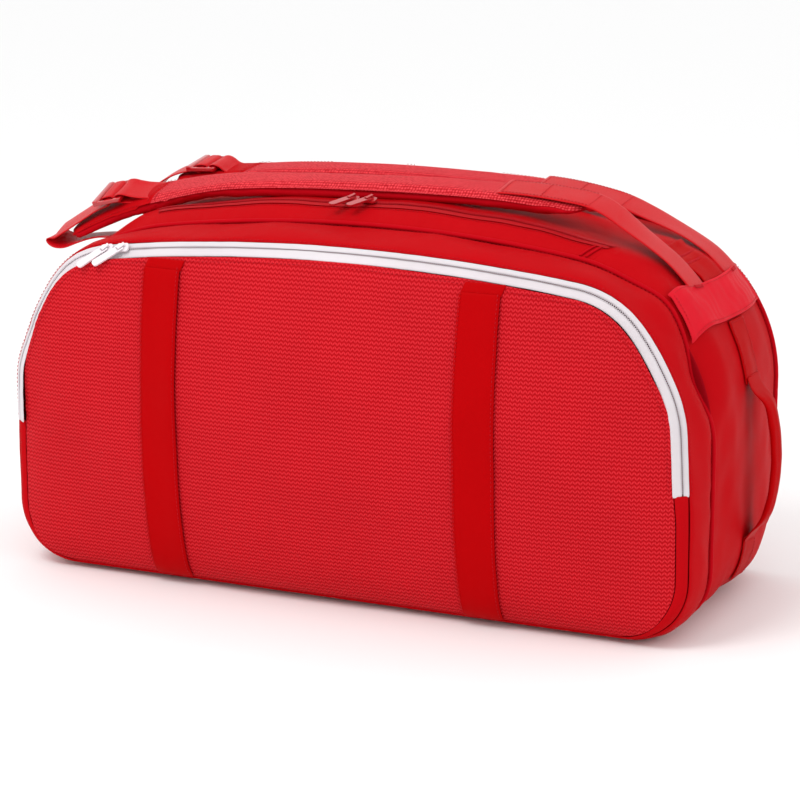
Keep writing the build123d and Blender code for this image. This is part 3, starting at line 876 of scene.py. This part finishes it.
for side, s in (("right", 1), ("left", -1)):
    for half, u0, sewn_z, free_z in (("upper", 0.0, 0.2200, 0.1840), ("lower", 0.5, 0.0740, 0.1080)):
        grip = cloth(f"{side}_grab_handle_{half}", 30, 24, lambda u, v: handle_place(u0 + u / 2, 2 * pi * v, s),
                     (handle_length / 2, 0.048), dark_web, closed=True)
        bm = bmesh.new()
        bm.from_mesh(grip.data)
        rim = [e for e in bm.edges if e.is_boundary and abs(e.verts[0].co.z - 0.146) > 0.05]
        bmesh.ops.holes_fill(bm, edges=rim, sides=0)
        bmesh.ops.recalc_face_normals(bm, faces=bm.faces)
        bm.to_mesh(grip.data)
        bm.free()
        round_off(grip, 1)
        if half == "upper":
            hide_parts(f"{side}_grab_handle")
        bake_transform(grip)

    def grip_seam(row, s=s):
        def seam(k):
            u = 0.20 + 0.60 * k
            p, n = handle_at(u)
            spot = handle_place(u, row, s)
            return spot, Vector((n.x * s, 0, n.z)) * -1
        return seam
    stitched(f"{side}_grip_stitches", [grip_seam(pi * 0.22), grip_seam(pi * 0.78)], f"{side}_handle",
             0.0036, (0.0026, 0.0008, 0.0008))

# ---- Shoulder pads -----------------------------------------------------------------------------------
# Each strap is a long foam pad bound in smooth cloth, with spacer mesh on top, a smooth reinforced end
# with a slanting seam under the buckle, and a stitched line close to its edge.
PADS = {
    "near": {"y": -0.012, "path": ((-0.3715, 0.3270), (-0.330, 0.350), (-0.294, 0.366), (-0.250, 0.379),
                                   (-0.187, 0.3915), (-0.120, 0.3975), (-0.060, 0.4005), (0.030, 0.4025),
                                   (0.120, 0.4010), (0.2115, 0.3930)),
             "plain": 0.122, "roll": (20.0, 11.0)},
    "far": {"y": 0.092, "path": ((-0.3015, 0.3750), (-0.262, 0.3825), (-0.215, 0.388), (-0.150, 0.394),
                                 (-0.060, 0.3975), (0.030, 0.3965), (0.120, 0.3915), (0.2055, 0.3775)),
            "plain": 0.096, "roll": (9.0, 9.0)},
}
PAD_W = 0.056


def rolled(strap, x, n, amount=1.0):
    """Across and up directions on a strap: each strap leans towards the front, most of all at its left."""
    first, rest = PADS[strap]["roll"]
    lean = radians(first + (rest - first) * soft(x, -0.30, -0.12)) * (1 - soft(x, 0.215, 0.290)) * amount
    across = Vector((0, 1, 0)) * cos(lean) + n * sin(lean)
    return across, n * cos(lean) - Vector((0, 1, 0)) * sin(lean)


binding = coated_cloth("binding_cloth", (0.44, 0.0025, 0.0080), 0.38, 0.0009)
where = node(binding.node_tree, "ShaderNodeTexCoord").outputs["Object"]
for part in binding.node_tree.nodes:
    if part.type == "UVMAP":
        for link in list(part.outputs[0].links):
            binding.node_tree.links.new(where, link.to_socket)

pad_mesh, tree, shader = material("spacer_mesh", 0.6, specular=0.08)
here = node(tree, "ShaderNodeUVMap", uv_map="cloth").outputs[0]
cells = node(tree, "ShaderNodeTexVoronoi", {"Vector": here, "Scale": 330.0, "Randomness": 0.25}).outputs[0]
threads = node(tree, "ShaderNodeMapRange", {0: cells, 1: 0.15, 2: 0.55, 3: 1.0, 4: 0.0}, clamp=True).outputs[0]
# The spacer mesh is darker in the low parts between its raised threads: painted shade in those hollows.
shaded_tone = node(tree, "ShaderNodeMix", {0: threads, 6: (0.40, 0.0030, 0.0090, 1), 7: (0.80, 0.060, 0.075, 1)},
            data_type="RGBA").outputs[2]
dyed(tree, shader, here, shaded_tone, 0.3)
bumped(tree, shader, threads, 0.0004, 0.8)


def plumped(obj, voxel=0.004, pressure=4.0, cap=0.0035):
    """Turns a slab into a stuffed form: an even mesh, blown up a little by a cloth simulation."""
    even = obj.modifiers.new("even", "REMESH")
    even.mode = "VOXEL"
    even.voxel_size = voxel

    def settled():
        view = bpy.context.evaluated_depsgraph_get()
        return bpy.data.meshes.new_from_object(obj.evaluated_get(view))
    obj.data = settled()
    obj.modifiers.clear()
    rest = [v.co.copy() for v in obj.data.vertices]
    blown = obj.modifiers.new("blown", "CLOTH")
    blown.settings.quality = 5
    blown.settings.use_pressure = True
    blown.settings.uniform_pressure_force = pressure
    blown.settings.effector_weights.gravity = 0
    blown.settings.tension_stiffness = 25
    blown.settings.bending_stiffness = 2
    scene = bpy.context.scene
    for step in range(1, 21):
        scene.frame_set(step)
    obj.data = settled()
    obj.modifiers.clear()
    scene.frame_set(1)
    for vert, start in zip(obj.data.vertices, rest):
        move = vert.co - start
        if move.length > cap:
            vert.co = start + move * (cap / move.length)
    bm = bmesh.new()
    bm.from_mesh(obj.data)
    for _ in range(2):
        bmesh.ops.smooth_vert(bm, verts=bm.verts, factor=0.5, use_axis_x=True, use_axis_y=True, use_axis_z=True)
    bm.to_mesh(obj.data)
    bm.free()
    obj.data.shade_smooth()


def rounded(s, length, half, bend=0.024):
    """Half width of a strip with round ends, s from one end."""
    d = min(s, length - s)
    if d >= bend:
        return half
    return half - bend + sqrt(max(bend * bend - (bend - d) ** 2, 0)) if half > bend else \
        half * sqrt(max(1 - (1 - d / bend) ** 2, 0))


for strap, design in PADS.items():
    at, length = trail(design["path"])

    def slab(u, v):
        s = 0.0008 + u * (length - 0.0016)
        p, n = at(s / length)
        half = max(rounded(s, length, PAD_W / 2 - 0.0012), 0.0015)
        p.y = design["y"]
        across, up = rolled(strap, p.x, n)
        return p + across * (2 * v - 1) * half - up * (0.0016 + 0.0012 * abs(2 * v - 1) ** 3)
    pad = cloth(f"{strap}_pad", 140, 14, slab, (length, PAD_W), binding)
    bm = bmesh.new()
    bm.from_mesh(pad.data)
    bmesh.ops.recalc_face_normals(bm, faces=bm.faces)
    bmesh.ops.solidify(bm, geom=bm.faces, thickness=0.0074)
    bmesh.ops.recalc_face_normals(bm, faces=bm.faces)
    bm.to_mesh(pad.data)
    bm.free()
    plumped(pad)
    surface = BVHTree.FromPolygons([v.co for v in pad.data.vertices],
                                   [face.vertices[:] for face in pad.data.polygons])
    round_off(pad, 1)
    pad.data.materials.clear()
    pad.data.materials.append(binding)
    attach(pad, f"{strap}_strap")
    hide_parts(f"{strap}_strap_pad")

    def on_pad(s, across, lift=0.0006):
        """Point on the pad's top face, s metres along and `across` from its middle line."""
        p, n = at(s / length)
        p.y = design["y"]
        aside, up = rolled(strap, p.x, n)
        p = p + aside * across
        hit = surface.ray_cast(p + up * 0.03, -up)
        return (hit[0] if hit[0] else p - up * 0.002) + up * lift, up

    def face(name, start, stop, cloth_material, slot, node_name, slant=0.0, lift=0.0005):
        def place(u, v):
            side = 2 * v - 1
            s = start + (stop - start) * u
            if not start < 0.01:
                s += slant * side * (1 - u)
            if stop < length - 0.01:
                s += slant * side * u
            half = max(rounded(s, length, PAD_W / 2 - 0.0044), 0.0012)
            return on_pad(s, side * half, lift + 0.0004 * (1 - side ** 6))[0]
        columns = max(int((stop - start) / 0.004), 4)
        made = cloth(name, columns, 14, place, (stop - start, 0.047), cloth_material)
        thicken(made, 0.0010)
        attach(made, f"{strap}_strap")
        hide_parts(node_name)

    plain = design["plain"]
    face(f"{strap}_pad_smooth_end", 0.0045, plain, satin, "body_fabric", f"{strap}_strap_reinforcement",
         0.007, 0.0008)
    face(f"{strap}_pad_mesh_face", plain - 0.001, length - 0.0045, pad_mesh, "pad_mesh", f"{strap}_strap_mesh",
         0.007)
    edges = [lambda k, side=side: on_pad(0.026 + (length - 0.052) * k, side * (PAD_W / 2 - 0.0062), 0.0020)
             for side in (-1, 1)]
    edges.append(lambda k: on_pad(plain + 0.004 + 0.0066 * (2 * k - 1), (2 * k - 1) * 0.0205, 0.0022))
    edges.append(lambda k: on_pad(plain - 0.004 + 0.0066 * (2 * k - 1), (2 * k - 1) * 0.0205, 0.0022))
    stitched(f"{strap}_pad_stitches", edges, f"{strap}_strap", 0.0040, (0.0028, 0.0008, 0.0006))

# ---- Strap webbings ----------------------------------------------------------------------------------
# At the right a webbing is sewn on the pad and runs down under the end patch. At the left one webbing
# runs from the buckle over the pad, folds back and is sewn under the other patch.
STRAP_W = 0.038
STRAPS = {
    "near": {"right": ((0.120, 0.4035), (0.150, 0.4028), (0.180, 0.4006), (0.212, 0.3962),
                       (0.232, 0.3880), (0.252, 0.3745), (0.274, 0.3595), (0.296, 0.3435),
                       (0.3145, 0.3250), (0.3200, 0.3175)),
             "left": ((-0.3180, 0.3660), (-0.3265, 0.3622), (-0.3370, 0.3570), (-0.3540, 0.3465),
                      (-0.3710, 0.3358), (-0.3810, 0.3295), (-0.3870, 0.3258), (-0.3898, 0.3222),
                      (-0.3882, 0.3182), (-0.3820, 0.3158), (-0.3720, 0.3158), (-0.3580, 0.3196),
                      (-0.3440, 0.3232), (-0.3300, 0.3256), (-0.3176, 0.3262)),
             "fold": ((-0.3885, 0.3178), (-0.3905, 0.3240)), "lock": (-0.3010, 0.3722, 13.0, 20.0),
             "loop": ((0.0420, -0.0046), (0.0300, -0.0030), (0.0180, -0.0004), (0.0080, 0.0032),
                      (0.0020, 0.0060), (-0.0040, 0.0068), (-0.0088, 0.0050), (-0.0092, 0.0008),
                      (-0.0050, -0.0018), (0.0040, -0.0038), (0.0140, -0.0054))},
    "far": {"right": ((0.120, 0.3945), (0.150, 0.3918), (0.180, 0.3870), (0.206, 0.3810),
                      (0.230, 0.3720), (0.252, 0.3630), (0.280, 0.3498), (0.300, 0.3378),
                      (0.3145, 0.3245), (0.3200, 0.3175)),
            "left": ((-0.2635, 0.3862), (-0.2760, 0.3876), (-0.2960, 0.3822), (-0.3120, 0.3742),
                     (-0.3230, 0.3660), (-0.3320, 0.3560), (-0.3382, 0.3490), (-0.3402, 0.3420),
                     (-0.3370, 0.3362), (-0.3310, 0.3325), (-0.3240, 0.3290), (-0.3176, 0.3262)),
            "fold": ((-0.339, 0.345), (-0.3438, 0.3603)), "lock": (-0.2455, 0.3892, 3.0, 9.0),
            "loop": ((0.0460, -0.0014), (0.0340, -0.0024), (0.0220, -0.0028), (0.0110, -0.0008),
                     (0.0040, 0.0045), (-0.0020, 0.0068), (-0.0080, 0.0056), (-0.0092, 0.0008),
                     (-0.0050, -0.0014), (0.0030, -0.0028), (0.0120, -0.0042))},
}
gloss_web = woven("strap_webbing", 0.36, 0.10, (0.54, 0.0025, 0.0070), 0.0017, 0.2, 0.00014, 0.7)[0]


def webbing(strap, name, points, width=STRAP_W, rise=0.0, thickness=0.0018, cell=0.004, flat_after=2.0,
            stand=None):
    """A webbing along a side-view path. It leans with its strap up to flat_after, or follows stand instead."""
    at, length = trail(points)
    y = PADS[strap]["y"]

    def place(u, v):
        p, n = at(v)
        side = 1 - 2 * u
        up = n if n.z > 0 else -n
        sway = rise + 0.0004 * (1 - side * side) + 0.0005 * noise.noise(Vector((side, v * length * 22, y * 50)))
        p.y = 0.0008 * noise.noise(Vector((v * length * 14, y, 3)))
        if stand:
            return stand @ (p + Vector((0, side * width / 2, 0)) + n * sway)
        p.y += y
        across, up = rolled(strap, p.x, up, 1 - soft(v, flat_after * 0.5, flat_after))
        return p + across * side * width / 2 + up * sway
    made = cloth(name, 10, int(length / cell), place, (width, length), gloss_web)
    thicken(made, thickness)
    return made


for strap, design in STRAPS.items():
    y = PADS[strap]["y"]
    right = webbing(strap, f"{strap}_webbing_right", design["right"], rise=0.0014)
    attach(right, f"{strap}_strap")
    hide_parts(f"{strap}_strap_webbing")
    left = webbing(strap, f"{strap}_webbing_left", design["left"], cell=0.0025, flat_after=0.96)
    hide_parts(f"{strap}_adjuster_webbing", f"{strap}_anchor_webbing")
    (x0, z0), (x1, z1) = design["fold"]
    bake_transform(left)
    right_at, _ = trail(design["right"])

    def sewn_edge(side, low, high):
        def seam(k):
            p, n = right_at(low + (high - low) * k)
            p.y = y
            across, up = rolled(strap, p.x, n)
            return p + across * side + up * 0.0029, up
        return seam

    def sewn_across(s):
        def seam(k):
            p, n = right_at(s)
            p.y = y
            across, up = rolled(strap, p.x, n)
            return p + across * (2 * k - 1) * 0.0165 + up * 0.0029, up
        return seam
    stitched(f"{strap}_webbing_stitches", [sewn_edge(-0.0165, 0.02, 0.42), sewn_edge(0.0165, 0.02, 0.42),
                                           sewn_across(0.02), sewn_across(0.20), sewn_across(0.42)],
             f"{strap}_strap", 0.0036, (0.0026, 0.0008, 0.0008))

# ---- Ladder locks ------------------------------------------------------------------------------------
# Moulded buckles with two slots, glossy and rounded. A short loop of webbing ties the buckle's right bar
# to the pad, and the adjuster passes over the middle bar.
glossy, tree, shader = material("moulded_red", 0.16, coat=0.5, specular=0.55)
where = node(tree, "ShaderNodeTexCoord").outputs["Object"]
uneven_gloss(tree, shader, 0.12, dyed(tree, shader, where, (0.46, 0.0030, 0.0080, 1), 0.15), 0.14)
moulding = node(tree, "ShaderNodeTexNoise", {"Vector": where, "Scale": 260.0}).outputs[0]
bumped(tree, shader, moulding, 0.0001, 0.25)

LOCK_BARS = (-0.0340, -0.0285, -0.0270, -0.0205, -0.0143, -0.0078, -0.0060, 0.0)
LOCK_SIDES = (-0.0230, -0.0193, 0.0193, 0.0230)
for strap, design in STRAPS.items():
    y = PADS[strap]["y"]
    x0, z0, tilt, lean = design["lock"]
    stand = Matrix.Translation((x0, y, z0)) @ Matrix.Rotation(radians(-tilt), 4, "Y") @ Matrix.Rotation(
        radians(lean), 4, "X")
    bm = bmesh.new()
    bmesh.ops.create_grid(bm, x_segments=len(LOCK_BARS) - 1, y_segments=len(LOCK_SIDES) - 1, size=0.5)
    for vert in bm.verts:
        column = round((vert.co.x + 0.5) * (len(LOCK_BARS) - 1))
        row = round((vert.co.y + 0.5) * (len(LOCK_SIDES) - 1))
        vert.co = (LOCK_BARS[column], LOCK_SIDES[row], 0.0006)
    slots = [f for f in bm.faces if abs(f.calc_center_median().y) < 0.01 and
             (-0.0270 < f.calc_center_median().x < -0.0205 or -0.0143 < f.calc_center_median().x < -0.0078)]
    bmesh.ops.delete(bm, geom=slots, context="FACES")
    made = bmesh.ops.extrude_face_region(bm, geom=bm.faces[:])
    for vert in (v for v in made["geom"] if isinstance(v, bmesh.types.BMVert)):
        vert.co.z = 0.0050 + (0.0014 if vert.co.x < -0.0280 else 0)
    bmesh.ops.recalc_face_normals(bm, faces=bm.faces)
    bmesh.ops.bevel(bm, geom=[e for e in bm.edges if e.calc_face_angle(0) > 0.6], offset=0.0011, segments=3,
                    profile=0.5, affect="EDGES", material=-1)
    bmesh.ops.transform(bm, matrix=stand, verts=bm.verts)
    lock = show(f"{strap}_buckle", bm, glossy)
    round_off(lock, 1)
    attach(lock, f"{strap}_lock")
    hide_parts(f"{strap}_ladder_lock")

    over = webbing(strap, f"{strap}_bar_webbing", ((-0.0252, -0.0002), (-0.0248, 0.0030),
                                                   (-0.0225, 0.0062), (-0.0175, 0.0066),
                                                   (-0.0125, 0.0062), (-0.0102, 0.0030),
                                                   (-0.0098, -0.0002)), 0.0366, 0, 0.0016, 0.0012, stand=stand)
    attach(over, f"{strap}_lock")
    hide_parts(f"{strap}_lock_loop")
    loop = webbing(strap, f"{strap}_pad_loop", design["loop"], 0.0366, 0, 0.0016, 0.0016, stand=stand)
    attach(loop, f"{strap}_strap")

# ---- Zip sliders and pulls ---------------------------------------------------------------------------
# Cast sliders with long rounded pulls: two painted white on the front zip, two red on the main zip.


def enamel(name, colour, roughness):
    made, tree, shader = material(name, roughness, coat=0.35, specular=0.5)
    where = node(tree, "ShaderNodeTexCoord").outputs["Object"]
    uneven_gloss(tree, shader, roughness - 0.05, dyed(tree, shader, where, (*colour, 1), 0.18), 0.12)
    skin = node(tree, "ShaderNodeTexNoise", {"Vector": where, "Scale": 500.0}).outputs[0]
    bumped(tree, shader, skin, 0.00008, 0.3)
    return made


white_paint = enamel("white_paint", (0.78, 0.70, 0.74), 0.30)
red_paint = enamel("red_paint", (0.42, 0.0030, 0.0080), 0.28)
for row, paint in (("front", white_paint), ("main", red_paint)):
    for side in ("left", "right"):
        for kind in ("slider", "pull"):
            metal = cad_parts[f"{row}_{kind}_{side}"]
            metal.data.materials.clear()
            metal.data.materials.append(paint)

# ---- Setting ---------------------------------------------------------------------------------------
# A pale floor, soft lamps and the camera.
floor_mat, tree, shader = material("pale_floor", 0.9, specular=0.1)
shader.inputs["Base Color"].default_value = (0.90, 0.90, 0.90, 1)
bm = bmesh.new()
bmesh.ops.create_grid(bm, x_segments=1, y_segments=1, size=30)
ground = show("floor", bm, floor_mat)

world = bpy.data.worlds.new("studio")
bpy.context.scene.world = world
world.use_nodes = True
world.node_tree.nodes["Background"].inputs[0].default_value = (1, 1, 1, 1)
world.node_tree.nodes["Background"].inputs[1].default_value = 1.08


def lamp(name, at, towards, size, watts):
    light = bpy.data.lights.new(name, "AREA")
    light.energy = watts
    light.size = size
    obj = bpy.data.objects.new(name, light)
    bpy.context.scene.collection.objects.link(obj)
    obj.location = at
    obj.rotation_euler = (Vector(towards) - Vector(at)).to_track_quat("-Z", "Y").to_euler()


lamp("key", (-0.5, -1.5, 2.3), (0, 0, 0.2), 0.9, 22)
lamp("side", (2.4, -0.2, 1.3), (0.2, 0, 0.2), 1.0, 5)
lamp("fill", (-2.0, -1.2, 0.9), (0, 0, 0.2), 1.4, 2)

camera = bpy.data.objects.new("camera", bpy.data.cameras.new("camera"))
bpy.context.scene.collection.objects.link(camera)
bpy.context.scene.camera = camera
AIM = Vector((0.0036, 0, 0.177))
TURN, RAISE, AWAY = radians(24.6), radians(13.34), 2.645
camera.location = AIM + AWAY * Vector((sin(TURN) * cos(RAISE), -cos(TURN) * cos(RAISE), sin(RAISE)))
camera.rotation_euler = (AIM - camera.location).to_track_quat("-Z", "Y").to_euler()
camera.data.lens = 117
camera.data.sensor_width = 36
bpy.context.scene.view_settings.view_transform = "Standard"
